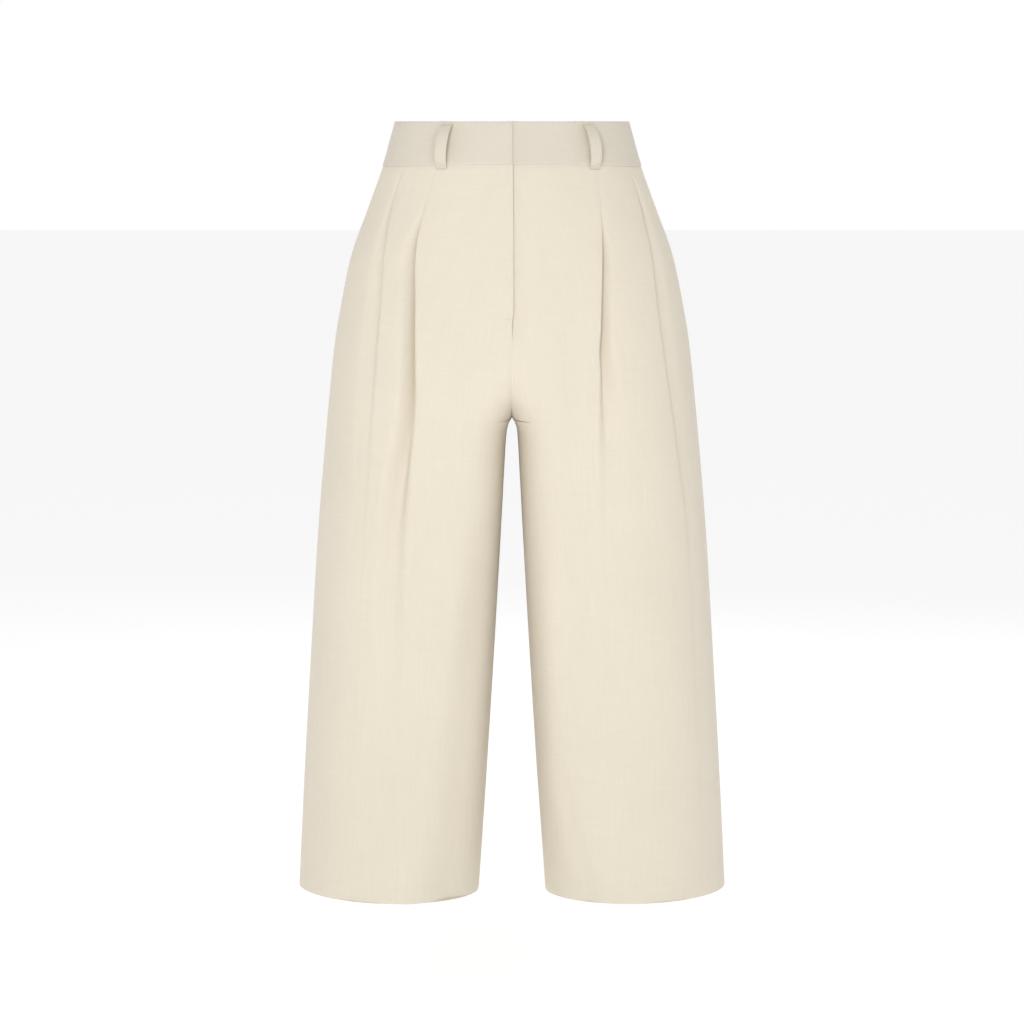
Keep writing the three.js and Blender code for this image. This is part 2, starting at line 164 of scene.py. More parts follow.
# %% Table of the soft folds: side, face, drop from and to, place from and to, width and height in millimetres
FOLDS = [
    (1, "front", 150, 620, 0.38, 0.27, 13, -3.2),
    (1, "front", 380, 740, 0.2, 0.2, 13, 2.2),
    (1, "front", 640, 806, 0.2, 0.36, 7, -1.6),
    (1, "front", 300, 806, 0.66, 0.7, 26, -1.2),
    (1, "front", 420, 806, 0.46, 0.5, 20, 1.2),
    (-1, "front", 90, 330, 0.25, 0.22, 6, -0.5),
    (-1, "front", 360, 806, 0.22, 0.49, 17, 3),
    (-1, "front", 360, 806, 0.11, 0.29, 16, -3.2),
    (-1, "front", 420, 806, 0.68, 0.7, 26, -1.4),
    (-1, "front", 150, 600, 0.64, 0.66, 12, 1),
    (-1, "back", 330, 806, 0.45, 0.5, 20, -2.8),
    (-1, "back", 250, 760, 0.66, 0.7, 16, 1.6),
    (-1, "back", 240, 420, 0.2, 0.6, 9, -1.2),
    (1, "back", 320, 790, 0.42, 0.48, 18, -2.4),
    (1, "back", 380, 806, 0.6, 0.66, 16, 1.7),
    (1, "back", 236, 380, 0.18, 0.55, 8, -1.3),
]
print("soft folds:", len(FOLDS))

# %% Reading a table between its rows


def read(table, columns, column, drop):
    k = columns.index(column)
    last = len(table) - 1
    i = 0
    while i < last - 1 and drop > table[i + 1][0]:
        i += 1

    def slope(j):
        a, b = table[max(j - 1, 0)], table[min(j + 1, last)]
        return (b[k] - a[k]) / (b[0] - a[0])

    span = table[i + 1][0] - table[i][0]
    t = min(1, max(0, (drop - table[i][0]) / span))
    return (
        (2 * t**3 - 3 * t**2 + 1) * table[i][k]
        + (t**3 - 2 * t**2 + t) * span * slope(i)
        + (3 * t**2 - 2 * t**3) * table[i + 1][k]
        + (t**3 - t**2) * span * slope(i + 1)
    )


def smooth(t):
    t = min(1, max(0, t))
    return t * t * (3 - 2 * t)


# %% One half of the garment at a drop, and its faces as short straight steps
section_of, face_of = {}, {}
STEPS = 90  # straight steps on each side of the peak


def section(drop):
    if drop in section_of:
        return section_of[drop]
    outer, peak, front, back, square, inside = (read(FORM, FORM_COLUMNS, c, drop) for c in FORM_COLUMNS[1:])
    below = drop - CROTCH_DROP
    gap = GAP_QUICK * (1 - math.exp(-below / GAP_OVER)) + GAP_SLOPE * below + GAP_GROWTH * below**2
    risen = max(0, 1 + below / RISE_HEIGHT)
    depth = 0 if below >= 0 else (1 - risen**RISE_CURVE) ** (1 / RISE_CURVE)
    middle = peak - SEAM_GAP / 2
    reach = middle - gap if below >= 0 else min(FLAT, middle / ((1 - depth**inside) or 1e-9) ** (1 / inside))
    trim = 1 if below >= 0 else min(1, middle / reach)
    section_of[drop] = (outer, peak, front, back, square, inside, reach, trim)
    return section_of[drop]


def face(drop, side_of):
    if (drop, side_of) in face_of:
        return face_of[drop, side_of]
    outer, peak, front, back, square, inside, reach, trim = section(drop)
    depth = -front if side_of == "front" else back
    i = np.arange(-STEPS, STEPS + 1)
    n = np.where(i < 0, inside, square)
    share = np.where(i < 0, trim, 1.0) * np.sin(math.pi / 2 * np.abs(i / STEPS))
    x = peak + np.where(i < 0, -reach, outer - peak) * share
    y = depth * np.maximum(0, 1 - share**n) ** (1 / n)
    lengths = np.concatenate([[0], np.cumsum(np.hypot(np.diff(x), np.diff(y)))])
    face_of[drop, side_of] = (x, y, lengths)
    return face_of[drop, side_of]


def girths(drop):
    return face(drop, "front")[2][-1], face(drop, "back")[2][-1]


def girth_at(drop, side_of, share):
    x, _, lengths = face(drop, side_of)
    along = float(np.interp(share * section(drop)[0], x, lengths))
    return along if side_of == "front" else sum(girths(drop)) - along


def level(x, y, drop):
    outer, peak, front, back, square, inside, reach, _ = section(drop)
    n, wide = (square, outer - peak) if x >= peak else (inside, reach)
    return (abs(x - peak) / wide) ** n + (abs(y) / (front if y < 0 else back)) ** n


for label, drop in (("waist", 0), ("waist seam", BAND_DROP), ("hem", HEM_DROP)):
    print(f"girth of one half at the {label}: {sum(girths(drop)):.0f} mm")

# %% [markdown]
# ## Placing a point of the cloth
# A point is known by how far it lies round the garment (its girth), how far down, and how high it stands off the
# form. Pleats, folds, hems and loops all use the same call, so neighbours keep the same small gap all the way.

# %% From girth, drop and height to a place
PROBE = 0.5  # the slope of the form is measured this far to either side


def fold_height(side, side_of, share, drop, half_width):
    height = 0
    for s, f, top, bottom, at_top, at_bottom, width, size in FOLDS:
        if s != side or f != side_of or not top < drop < bottom:
            continue
        t = (drop - top) / (bottom - top)
        fade = 1 if bottom >= HEM_DROP and t > 0.5 else smooth(4 * (1 - t)) if t > 0.5 else smooth(4 * t)
        away = (share - (at_top + (at_bottom - at_top) * t)) * half_width / width
        height += size * fade * math.exp(-away * away)
    return height


def place(side, girth, drop, height, folds=True):
    if girth < 0:
        return place(-side, -girth, drop, height, folds)
    front, back = girths(drop)
    side_of = "front" if girth <= front else "back"
    xs, ys, lengths = face(drop, side_of)
    along = girth if side_of == "front" else front + back - girth
    x, y = float(np.interp(along, lengths, xs)), float(np.interp(along, lengths, ys))
    facing = Vector(
        (
            level(x + PROBE, y, drop) - level(x - PROBE, y, drop),
            level(x, y + PROBE, drop) - level(x, y - PROBE, drop),
            level(x, y, drop - PROBE) - level(x, y, drop + PROBE),
        )
    ).normalized()
    outer, peak = section(drop)[:2]
    if girth + SEAM_GAP > front + back and drop < CROTCH_DROP - RISE_HEIGHT:
        facing.x = 0  # on the centre back seam the cloth stands straight out
    if folds:
        height += fold_height(side, side_of, x / outer, drop, outer)
    lean = HEM_LEAN * smooth((drop - CROTCH_DROP) / (HEM_DROP - CROTCH_DROP))
    bow = SEAM_BOW * (drop / BAND_DROP if drop < BAND_DROP else max(0, 1 - (drop - BAND_DROP) / SEAM_BOW_FADE))
    z = -drop + lean * (x - peak) + bow * (1 - 2 * (x / outer) ** 2)
    return (
        side * max(SEAM_GAP / 2, x + height * facing.x),
        y + height * facing.y,
        z + height * facing.z,
    )


# %% [markdown]
# ## Shader maths
# Node trees are easier to read as sums than as wires. This small class wraps a socket, so that adding or multiplying
# two of them adds the Math node that does it.

# %% A socket that can be added, multiplied and mixed


class Wire:
    def __init__(self, tree, socket):
        self.tree, self.socket = tree, socket

    def node(self, kind, inputs=(), output=0, **settings):
        made = self.tree.nodes.new(kind)
        for key, value in settings.items():
            setattr(made, key, value)
        for key, value in dict(inputs).items():
            if isinstance(value, Wire):
                self.tree.links.new(value.socket, made.inputs[key])
            else:
                made.inputs[key].default_value = value
        return Wire(self.tree, made.outputs[output])

    def maths(self, operation, a, b):
        return self.node("ShaderNodeMath", {0: a, 1: b}, operation=operation)

    def __add__(self, other):
        return self.maths("ADD", self, other)

    def __sub__(self, other):
        return self.maths("SUBTRACT", self, other)

    def __mul__(self, other):
        return self.maths("MULTIPLY", self, other)

    def __rsub__(self, other):
        return self.maths("SUBTRACT", other, self)

    __radd__, __rmul__ = __add__, __mul__


# %% [markdown]
# ## The cloth
# The cloth is a plain weave of slubby yarn, undyed or pale sand. Its colour hardly changes, so what makes it read as
# cloth is the crossing of threads and the thicker slubs that run along them. Both follow the piece's own UV map,
# which is laid out in metres along the girth and down the drop, like the cut piece on the table.

# %% Cloth material
THREADS_PER_METRE = 1500
SLUB_ALONG, SLUB_ACROSS = 28, 1100  # noise per metre: long drawn slubs


def cloth(name, colour, light):
    material = bpy.data.materials.new(name)
    material.use_nodes = True
    tree = material.node_tree
    shader = tree.nodes["Principled BSDF"]
    shader.inputs["Roughness"].default_value = 0.88
    shader.inputs["Specular IOR Level"].default_value = 0.25
    shader.inputs["Sheen Weight"].default_value = 0.12
    shader.inputs["Sheen Roughness"].default_value = 0.5
    start = Wire(tree, None)
    uv = start.node("ShaderNodeUVMap", uv_map="cut")

    def slubs(along, across, seed):
        scaled = start.node(
            "ShaderNodeMapping",
            {"Vector": uv, "Scale": (along, across, 1), "Location": (seed,) * 3},
        )
        return start.node(
            "ShaderNodeTexNoise",
            {"Vector": scaled, "Scale": 1.0, "Detail": 2.0, "Roughness": 0.6},
        )

    warp, weft = slubs(SLUB_ACROSS, SLUB_ALONG, 0.3), slubs(SLUB_ALONG, SLUB_ACROSS, 5.1)
    cloud = start.node("ShaderNodeTexNoise", {"Vector": uv, "Scale": 9.0, "Detail": 3.0})
    tone = warp * 0.5 + weft * 0.5
    spread = (tone - 0.5) * 0.9 + (cloud - 0.5) * 0.35 + 0.5
    mixed = start.node(
        "ShaderNodeMix",
        {0: spread, 6: (*colour, 1), 7: (*light, 1)},
        output=2,
        data_type="RGBA",
        clamp_factor=True,
    )
    parts = start.node("ShaderNodeSeparateXYZ", {0: uv})
    u = Wire(tree, parts.socket.node.outputs[0])
    v = Wire(tree, parts.socket.node.outputs[1])
    turn = THREADS_PER_METRE * math.pi
    ribs = start.maths("SINE", u * turn, 0.0) * start.maths("SINE", v * turn, 0.0)
    height = ribs * 0.25 + tone
    bump = start.node("ShaderNodeBump", {"Height": height, "Strength": 0.35, "Distance": 0.0004})
    tree.links.new(mixed.socket, shader.inputs["Base Color"])
    tree.links.new(bump.socket, shader.inputs["Normal"])
    print("material", name)
    return material


PANEL_CLOTH = cloth("sand cloth", (0.645, 0.583, 0.478), (0.77, 0.705, 0.59))
BAND_CLOTH_FINISH = cloth("waistband cloth", (0.585, 0.533, 0.445), (0.7, 0.645, 0.55))

# %% [markdown]
# ## A wall of cloth
# Every cut piece is built as a grid of points on its outer face and one on its inner face, joined round the edge.
# That gives a closed thin wall with real thickness at the hems and at the open waist, where a flat sheet would look
# like paper.

# %% Building one closed wall
SHARP_ABOVE = 50  # degrees between two faces


def wall(name, node, rows, material):
    high, wide = len(rows), len(rows[0])
    points = [p[0] for row in rows for p in row] + [p[1] for row in rows for p in row]
    flat = [p[2] for row in rows for p in row] * 2
    half = high * wide
    quads = []
    for r in range(high - 1):
        for c in range(wide - 1):
            a, b, d, e = r * wide + c, (r + 1) * wide + c, (r + 1) * wide + c + 1, r * wide + c + 1
            quads += [(a, b, d, e), (half + a, half + e, half + d, half + b)]
    for c in range(wide - 1):
        a, e = c, c + 1
        quads.append((a, e, half + e, half + a))
        a, e = (high - 1) * wide + c, (high - 1) * wide + c + 1
        quads.append((e, a, half + a, half + e))
    for r in range(high - 1):
        a, b = r * wide, (r + 1) * wide
        quads.append((b, a, half + a, half + b))
        a, b = r * wide + wide - 1, (r + 1) * wide + wide - 1
        quads.append((a, b, half + b, half + a))
    p = np.array(points) / 1000
    q = np.array(quads)
    volume = sum(np.einsum("ij,ij->", p[q[:, 0]], np.cross(p[q[:, k]], p[q[:, k + 1]])) for k in (1, 2))
    if volume < 0:
        quads = [quad[::-1] for quad in quads]
    mesh = bpy.data.meshes.new(name)
    mesh.from_pydata([tuple(v) for v in p], [], quads)
    mesh.materials.append(material)
    layer = mesh.uv_layers.new(name="cut")
    for loop in mesh.loops:
        layer.data[loop.index].uv = (flat[loop.vertex_index][0] / 1000, flat[loop.vertex_index][1] / 1000)
    mesh.shade_smooth()
    mesh.set_sharp_from_angle(angle=math.radians(SHARP_ABOVE))
    piece = bpy.data.objects.new(name, mesh)
    bpy.context.scene.collection.objects.link(piece)
    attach(piece, "root")
    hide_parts(node)
    area = sum(polygon.area for polygon in mesh.polygons) / 2
    print(f"{name}: {len(mesh.polygons)} faces, {area:.3f} square metres of cloth")
    return piece, area


# %% Rows of a piece: even steps with the wanted drops among them


def drops_between(top, bottom, step, wanted=()):
    count = round((bottom - top) / step)
    even = [top + (bottom - top) * i / count for i in range(count + 1)]
    kept = [d for d in even if all(abs(d - w) > step / 3 for w in wanted)]
    return sorted({*kept, *wanted, top, bottom})


ROW_STEP = 6
TOP_DROPS = (BAND_DROP + 0.9, BAND_DROP + 2, FLY_END)
CROTCH_DROPS = (297, 301, 303.5, 305, CROTCH_DROP, 308, 311, 315)  # the form turns fastest here
HEM_DROPS = (HEM_DROP - HEM_TURN - 1.5, HEM_DROP - HEM_TURN, HEM_DROP - 1.2, HEM_DROP - 0.4)
PANEL_DROPS = drops_between(BAND_DROP + SEAM_GAP, HEM_DROP, ROW_STEP, (*TOP_DROPS, *CROTCH_DROPS, *HEM_DROPS))
print("rows in a panel:", len(PANEL_DROPS))

# %% How the cloth rolls at its edges, and the two faces of a panel
EDGE_ROLL, EDGE_ROLL_WIDTH = 0.35, 2.2  # how far cloth rolls in at a seam
HEM_DRAWN_IN, HEM_ROLL, HEM_ROLL_WIDTH = 0.22, 0.3, 1.2


def seam_roll(away, width=EDGE_ROLL_WIDTH):
    return -EDGE_ROLL * (1 - smooth(away / width))


def panel_height(drop):
    """The cloth rolls in under the waistband, and the stitched top of the hem draws in a little."""
    top = seam_roll(drop - BAND_DROP - SEAM_GAP)
    hem = -HEM_DRAWN_IN * math.exp(-(((drop - HEM_DROP + HEM_TURN) / HEM_ROLL_WIDTH) ** 2))
    edge = -HEM_ROLL * smooth((drop - HEM_DROP + HEM_ROLL_WIDTH) / HEM_ROLL_WIDTH)
    return top + hem + edge


def both_faces(side, drop, point, edge_away):
    girth, height, turn = point
    turn = math.radians(turn)
    raised = height + panel_height(drop) + seam_roll(edge_away)
    thick = 2 * CLOTH if drop >= HEM_DROP - HEM_TURN else CLOTH
    half = SOLID_CLOTH / 2

    def at(out):
        return place(side, girth + out * math.sin(turn), drop, raised - half + out * math.cos(turn))

    near = half - CLOTH_SEAT
    return at(near), at(near - thick), (side * (girth - girths(drop)[0]), -drop)


# %% [markdown]
# ## Fronts
# Each front carries two pleats that turn towards the side seam. The columns of its grid are laid out between the
# pleats and round their turns, so that the folds stay crisp where they are pressed at the top.

# %% A pleat in section, as girth, height and turn
TURN_STEPS, UNDER_STEPS, RISE_STEPS = 6, 3, 8
FOLDED_FROM, FOLDED_OVER = 75, 30  # past this turn the fold line is the outermost edge, not the middle


def pleat(table, drop):
    at, turn, bend, under, rise = (read(table, PLEAT_COLUMNS, c, drop) for c in PLEAT_COLUMNS[1:])
    angle = math.radians(turn)
    girth = height = 0.0
    points = [(0.0, 0.0, 0.0)]
    for start, end in ((0, angle), (angle, 0)):
        for i in range(1, TURN_STEPS + 1):
            half = (end - start) / (2 * TURN_STEPS)
            step = start + (2 * i - 1) * half
            chord = 2 * bend * abs(math.sin(half))
            girth += chord * math.cos(step)
            height -= chord * math.sin(step)
            points.append((girth, height, math.degrees(step + half)))
        if start == 0:
            for _ in range(UNDER_STEPS):
                girth += under / UNDER_STEPS * math.cos(angle)
                height -= under / UNDER_STEPS * math.sin(angle)
                points.append((girth, height, turn))
    edge = max(p[0] for p in points)
    middle = points[TURN_STEPS + UNDER_STEPS][0] / 2
    low, end = height, girth
    for i in range(1, RISE_STEPS + 1):
        share = i / RISE_STEPS
        slope = math.degrees(math.atan(low * 6 * share * (1 - share) / rise))
        points.append((end + rise * share, low * (1 - smooth(share)), slope))
    blend = smooth((turn - FOLDED_FROM) / FOLDED_OVER)
    shift = girth_at(drop, "front", at) - (blend * edge + (1 - blend) * middle)
    return [(g + shift, h, t) for g, h, t in points]


# %% The columns of a front
EDGE_STEPS = (0, 0.4, 1.2, 2.4)  # columns this far in from an edge, to round it
ROLL_AT = 0.24  # where the crotch curve runs out into the face, as a share of the half width
AT_FLY, TO_ROLL, TO_INNER, TO_OUTER, TO_SIDE = 3, 14, 10, 6, 8  # columns in each stretch


def between(start, end, count):
    return [(start + (end - start) * (i + 1) / (count + 1), 0, 0) for i in range(count)]


def edge_columns(edge, inward):
    columns = [(edge + inward * step, 0, 0) for step in EDGE_STEPS]
    return columns if inward > 0 else columns[::-1]


def front_row(side, drop):
    inner, outer = (pleat(table, drop) for table in PLEATS[side])
    lap = read(FLY_EDGE[side], FLY_COLUMNS, "lap", drop)
    edge = lap if lap < 0 else SEAM_GAP / 2 if drop >= CROTCH_DROP else 0
    end = girths(drop)[0] - SEAM_GAP / 2
    roll = girth_at(drop, "front", ROLL_AT)
    row = edge_columns(edge, 1)
    row[-1] = (max(row[-1][0], FLY_DIP_FULL), 0, 0)
    row += between(row[-1][0], FLY_DIP_FROM, AT_FLY) + [(FLY_DIP_FROM, 0, 0)]
    row += between(FLY_DIP_FROM, roll, TO_ROLL) + [(roll, 0, 0)] + between(roll, inner[0][0], TO_INNER) + inner
    row += between(inner[-1][0], outer[0][0], TO_OUTER) + outer
    side_seam = edge_columns(end, -1)
    row += between(outer[-1][0], side_seam[0][0], TO_SIDE) + side_seam
    if side > 0:
        dip = FLY_DIP * read(FLY_EDGE[side], FLY_COLUMNS, "dip", drop)
        row = [(g, h - dip * smooth((FLY_DIP_FROM - g) / (FLY_DIP_FROM - FLY_DIP_FULL)), t) for g, h, t in row]
    return row


def front(name, side):
    rows = []
    for drop in PANEL_DROPS:
        row = front_row(side, drop)
        first, last = row[0][0], row[-1][0]
        rows.append([both_faces(side, drop, p, min(p[0] - first, last - p[0])) for p in row])
    return wall(f"{name}_cloth", name, rows, PANEL_CLOTH)


fronts = [front("front_right", -1), front("front_left", 1)]

# %% [markdown]
# ## Backs
# The backs are plain, with the same soft troughs down the leg. They follow the seat, then hang straight.

# %% Two backs
BACK_TO_ROLL, BACK_TO_SEAM = 34, 18  # columns in each stretch


def back(name, side):
    rows = []
    for drop in PANEL_DROPS:
        front_girth, back_girth = girths(drop)
        start = front_girth + SEAM_GAP / 2
        end = front_girth + back_girth - (SEAM_GAP / 2 if drop >= CROTCH_DROP else 0)
        roll = girth_at(drop, "back", ROLL_AT)
        side_seam, centre_seam = edge_columns(start, 1), edge_columns(end, -1)
        row = side_seam + between(side_seam[-1][0], roll, BACK_TO_ROLL) + [(roll, 0, 0)]
        row += between(roll, centre_seam[0][0], BACK_TO_SEAM) + centre_seam
        rows.append([both_faces(side, drop, p, min(p[0] - start, end - p[0])) for p in row])
    return wall(f"{name}_cloth", name, rows, PANEL_CLOTH)


backs = [back("back_right", -1), back("back_left", 1)]

# %% [markdown]
# ## Waistband
# The waistband is two layers with interfacing between, so it is thicker and stiffer and stands a little proud of
# the cloth below. The right half laps over the left one at the front.

# %% Two halves of the waistband
BAND_EDGE_ROWS = (0, 0.5, 1.3)
BAND_ROWS, BAND_LAP_COLUMNS, BAND_COLUMNS = 14, 12, 100
BAND_OVER = 0.5  # the right half ends this far past the centre
BAND_LAP_GAP = 0.1
BAND_ROLL_WIDTH = 1.5


def band(name, side):
    _, second, third, last = EDGE_STEPS
    drops = [*BAND_EDGE_ROWS, *[BAND_DROP * i / BAND_ROWS for i in range(1, BAND_ROWS)]]
    drops += [BAND_DROP - row for row in reversed(BAND_EDGE_ROWS)]
    rows = []
    for drop in drops:
        end = sum(girths(drop))
        start = -BAND_LAP if side > 0 else -BAND_OVER
        columns = [start, start + second, start + third]
        if side > 0:
            lap = FLY_DIP_FULL - start - third
            columns += [start + third + lap * i / BAND_LAP_COLUMNS for i in range(1, BAND_LAP_COLUMNS + 1)]
        first = columns[-1]
        columns += [first + (end - last - first) * i / BAND_COLUMNS for i in range(1, BAND_COLUMNS + 1)]
        columns += [end - third, end - second, end]
        row = []
        for girth in columns:
            lapped = smooth((FLY_DIP_FROM - girth) / (FLY_DIP_FROM - FLY_DIP_FULL)) if side > 0 else 0
            dip = (BAND_CLOTH + BAND_LAP_GAP + SEAM_GAP) * lapped
            away = min(drop, BAND_DROP - drop, end - girth, girth - start)
            height = BAND_PROUD - CLOTH_SEAT - dip + seam_roll(away, BAND_ROLL_WIDTH)
            row.append(
                (
                    place(side, girth, drop, height, False),
                    place(side, girth, drop, height - BAND_CLOTH, False),
                    (side * (girth - girths(drop)[0]), -drop),
                )
            )
        rows.append(row)
    return wall(f"{name}_cloth", name, rows, BAND_CLOTH_FINISH)


bands = [band("waistband_right", -1), band("waistband_left", 1)]

# %% [markdown]
# ## Fly shield
# Behind the opening of the fly a strip of the same cloth keeps the zip off the body. Only its edge shows in the gap.

# %% The shield
SHIELD_ROWS, SHIELD_COLUMNS = 40, 12
SHIELD_TAPER = 0.75  # how much of its right side is cut away by its foot, over the last quarter


def shield():
    rows = []
    for i in range(SHIELD_ROWS + 1):
        drop = SHIELD["top"] + (SHIELD["bottom"] - SHIELD["top"]) * i / SHIELD_ROWS
        taper = 1 - SHIELD_TAPER * max(0, (i / SHIELD_ROWS * 8 - 6) / 2) ** 2
        row = []
        for share in [k / SHIELD_COLUMNS for k in range(SHIELD_COLUMNS + 1)]:
            girth = SHIELD["right"] * taper + (SHIELD["left"] - SHIELD["right"] * taper) * share
            out = place(1, girth, drop, -SHIELD["behind"] - CLOTH_SEAT, False)
            row.append((out, place(1, girth, drop, -SHIELD["behind"] - CLOTH, False), (girth, -drop)))
        rows.append(row)
    return wall("fly_shield_cloth", "fly_shield", rows, PANEL_CLOTH)


shield_piece = shield()

# %% [markdown]
# ## Belt loops
# A belt loop is a narrow folded strip, held down at both ends and bowed out between them. Its edges are stitched,
# which draws them in, so the strip is fuller along its middle.

# %% Five loops
LOOP_WIDTH, LOOP_CLOTH, LOOP_BOW, LOOP_TOP, LOOP_BOTTOM, LOOP_FOOT = 11, 1.5, 10, 0.2, 49, 3
LOOP_FULLNESS = 0.6  # below 1, the loop stands off quickly at its ends
LOOPS = {
    "belt_loop_front_right": (-1, "front", 0.533),
    "belt_loop_front_left": (1, "front", 0.626),
    "belt_loop_back_right": (-1, "back", 0.58),
    "belt_loop_back_left": (1, "back", 0.58),
    "belt_loop_back_centre": (1, "back", 0),
}
LOOP_ROWS = 30
LOOP_SHARES = (-0.5, -0.47, -0.4, -0.25, 0, 0.25, 0.4, 0.47, 0.5)  # its columns, across the width
LOOP_DRAWN_IN = 0.25


def loop_shape():
    start, end = LOOP_TOP + LOOP_FOOT, LOOP_BOTTOM - LOOP_FOOT - 1
    bowed = [i / LOOP_ROWS for i in range(LOOP_ROWS + 1)]
    shape = [(LOOP_TOP, 0), (LOOP_TOP + LOOP_FOOT / 2, 0)]
    shape += [(start + (end - start) * t, LOOP_BOW * math.sin(math.pi * t) ** LOOP_FULLNESS) for t in bowed]
    return shape + [(end + 2, 0), (LOOP_BOTTOM, 0)]


def strap_point(side, girth, drop, height, at):
    """A point of a loop; the one on the centre back seam lies across both halves."""
    if at > 0:
        return place(side, girth, drop, height, False)
    whole = sum(girths(drop))
    across = girth - whole
    x, y, z = place(side, whole - abs(across), drop, height, False)
    x = 0 if abs(across) < SEAM_GAP else math.copysign(abs(x), -across)
    return x, y, z


def belt_loop(name, side, side_of, at):
    rows = []
    for drop, out in loop_shape():
        middle = girth_at(min(drop, BAND_DROP), side_of, at)
        row = []
        for share in LOOP_SHARES:
            girth = middle + share * LOOP_WIDTH
            swell = -LOOP_DRAWN_IN * smooth((abs(share) - 0.3) / 0.2)
            rest = BAND_PROUD + SEAM_GAP + out
            row.append(
                (
                    strap_point(side, girth, drop, rest + LOOP_CLOTH + swell, at),
                    strap_point(side, girth, drop, rest, at),
                    (girth, -drop),
                )
            )
        rows.append(row)
    return wall(f"{name}_cloth", name, rows, BAND_CLOTH_FINISH)


loops = [belt_loop(name, *where) for name, where in LOOPS.items()]

# %% [markdown]
# ## Stitches
# The sewing shows in three places: the pricks of the hem, the two rows along each belt loop with a bar tack at its
# feet, and the tack that closes the bottom of the fly. A stitch is one short rounded thread, and Geometry Nodes lays
# copies of it along a path, so its step and length are set once.

# %% The stitch tree
THREAD = cloth("sewing thread", (0.6, 0.54, 0.445), (0.7, 0.64, 0.54))


def stitch_tree():
    tree = bpy.data.node_groups.new("stitches along a path", "GeometryNodeTree")
    for label, kind in (
        ("Path", "NodeSocketGeometry"),
        ("Step", "NodeSocketFloat"),
        ("Length", "NodeSocketFloat"),
        ("Thickness", "NodeSocketFloat"),
        ("Thread", "NodeSocketMaterial"),
    ):
        tree.interface.new_socket(label, in_out="INPUT", socket_type=kind)
    tree.interface.new_socket("Stitches", in_out="OUTPUT", socket_type="NodeSocketGeometry")
    given = tree.nodes.new("NodeGroupInput")
    points = tree.nodes.new("GeometryNodeCurveToPoints")
    points.mode = "LENGTH"
    thread = tree.nodes.new("GeometryNodeMeshUVSphere")
    thread.inputs["Segments"].default_value = 6
    thread.inputs["Rings"].default_value = 4
    thread.inputs["Radius"].default_value = 0.5
    size = tree.nodes.new("ShaderNodeCombineXYZ")
    copies = tree.nodes.new("GeometryNodeInstanceOnPoints")
    real = tree.nodes.new("GeometryNodeRealizeInstances")
    finish = tree.nodes.new("GeometryNodeSetMaterial")
    out = tree.nodes.new("NodeGroupOutput")
    for a, b in (
        (given.outputs["Path"], points.inputs["Curve"]),
        (given.outputs["Step"], points.inputs["Length"]),
        (points.outputs["Points"], copies.inputs["Points"]),
        (points.outputs["Rotation"], copies.inputs["Rotation"]),
        (thread.outputs["Mesh"], copies.inputs["Instance"]),
        (given.outputs["Thickness"], size.inputs["X"]),
        (given.outputs["Thickness"], size.inputs["Y"]),
        (given.outputs["Length"], size.inputs["Z"]),
        (size.outputs["Vector"], copies.inputs["Scale"]),
        (copies.outputs["Instances"], real.inputs["Geometry"]),
        (real.outputs["Geometry"], finish.inputs["Geometry"]),
        (given.outputs["Thread"], finish.inputs["Material"]),
        (finish.outputs["Geometry"], out.inputs["Stitches"]),
    ):
        tree.links.new(a, b)
    return tree


STITCHES = stitch_tree()


def stitch(name, paths, step, length, thickness):
    curve = bpy.data.curves.new(name + "_path", "CURVE")
    curve.dimensions = "3D"
    for path in paths:
        spline = curve.splines.new("POLY")
        spline.points.add(len(path) - 1)
        for point, (x, y, z) in zip(spline.points, path):
            point.co = (x / 1000, y / 1000, z / 1000, 1)
    holder = bpy.data.objects.new(name + "_path", curve)
    bpy.context.scene.collection.objects.link(holder)
    modifier = holder.modifiers.new("stitches", "NODES")
    modifier.node_group = STITCHES
    values = {"Step": step / 1000, "Length": length / 1000, "Thickness": thickness / 1000, "Thread": THREAD}
    for item in STITCHES.interface.items_tree:
        if item.in_out == "INPUT" and item.name in values:
            modifier[item.identifier] = values[item.name]
    evaluated = holder.evaluated_get(bpy.context.evaluated_depsgraph_get())
    mesh = bpy.data.meshes.new_from_object(evaluated)
    bpy.data.objects.remove(holder)
    mesh.shade_smooth()
    mesh.uv_layers.new(name="cut")
    made = bpy.data.objects.new(name, mesh)
    bpy.context.scene.collection.objects.link(made)
    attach(made, "root")
    print(name, len(mesh.polygons), "faces")
    return made


# %% Where the stitches run
# step, length and thickness of each kind
HEM_STITCH, LOOP_STITCH, TACK_STITCH = (6.5, 1.3, 0.28), (2.6, 2.1, 0.3), (0.8, 0.9, 0.5)
HEM_POINTS = 60  # along the back of a hem
SEAM_AWAY = 5  # past the roll of a seam
ROW_AT, ROW_SINK = 0.36, 0.1  # a loop's stitch row: its share of the width, and how deep it is pulled in
TACK_TOP, TACK_FOOT, TACK_WIDTH, TACK_POINTS = 1.2, 1.4, 0.85, 10
hem_drop = HEM_DROP - HEM_TURN


def hem_path(side, row):
    return [both_faces(side, hem_drop, point, SEAM_AWAY)[0] for point in row]


def back_hem_row():
    front_girth, back_girth = girths(hem_drop)
    return between(front_girth + 1, front_girth + back_girth - 1, HEM_POINTS)


for side, word in ((-1, "right"), (1, "left")):
    stitch(
        f"hem_stitches_{word}",
        [hem_path(side, front_row(side, hem_drop)[3:-3]), hem_path(side, back_hem_row())],
        *HEM_STITCH,
    )

